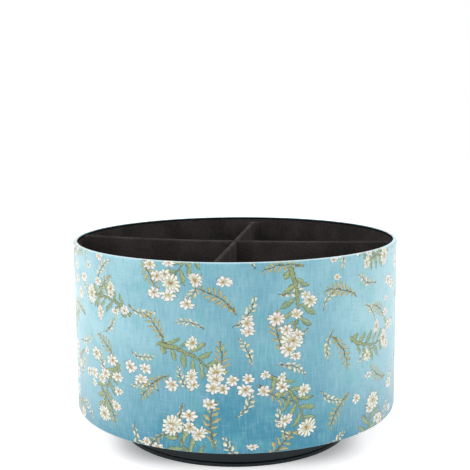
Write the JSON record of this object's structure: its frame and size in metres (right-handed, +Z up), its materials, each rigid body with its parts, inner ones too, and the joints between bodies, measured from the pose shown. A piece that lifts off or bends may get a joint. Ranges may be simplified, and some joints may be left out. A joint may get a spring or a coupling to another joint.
{
  "type": "rotating desk organizer",
  "caption": "Round drum-shaped desk caddy split into open quadrant compartments for pens and remote controls, turning freely on a low ball-bearing turntable.",
  "frame": {"origin": "on the desk under the turning axis, at the bottom centre of the rubber feet's plane", "axes": "+Z up along the turning axis; X along the long divider; -Y towards the user"},
  "size_m": [0.17, 0.17, 0.1041],
  "materials": {
    "rubber": "matt black moulded rubber",
    "turntable_plastic": "satin charcoal moulded plastic",
    "pin_steel": "zinc-plated turned steel",
    "nylon": "natural nylon",
    "ball_steel": "polished bearing steel",
    "screw_steel": "zinc-plated steel",
    "cover_sheet": "black grained backing paper",
    "floor_board": "medium-density fibreboard",
    "wall_board": "grey tube board",
    "printed_wrap": "printed leatherette, satin, sky blue painted floral pattern",
    "divider_board": "grey board",
    "suede_lining": "brown-black flocked suede lining"
  },
  "bodies": {
    "base": {"rubber_feet": "rubber", "turntable_base_plate": "turntable_plastic", "centre_pin": "pin_steel", "thrust_washer": "nylon", "pin_retaining_washer": "pin_steel", "pin_lock_nut": "pin_steel"},
    "ball_cage": {"ball_cage_ring": "nylon", "bearing_balls": "ball_steel"},
    "drum": {"turntable_top_shell": "turntable_plastic", "turntable_screws": "screw_steel", "underside_cover": "cover_sheet", "floor_board": "floor_board", "wall_board": "wall_board", "outer_wrap": "printed_wrap", "wall_lining": "suede_lining", "long_divider_board": "divider_board", "long_divider_cover": "suede_lining", "front_divider_board": "divider_board", "front_divider_cover": "suede_lining", "rear_divider_board": "divider_board", "rear_divider_cover": "suede_lining", "rear_right_floor_pad": "suede_lining", "rear_left_floor_pad": "suede_lining", "front_left_floor_pad": "suede_lining", "front_right_floor_pad": "suede_lining"}
  },
  "joints": [
    {"name": "drum_spin", "type": "hinge", "parent": "base", "child": "drum", "pos_m": [0, 0, 0], "axis": [0, 0, 1], "continuous": true},
    {"name": "cage_spin", "type": "hinge", "parent": "base", "child": "ball_cage", "pos_m": [0, 0, 0], "axis": [0, 0, 1], "continuous": true}
  ],
  "couplings": [
    {"joint": "cage_spin", "follows": "drum_spin", "ratio": 0.5}
  ]
}
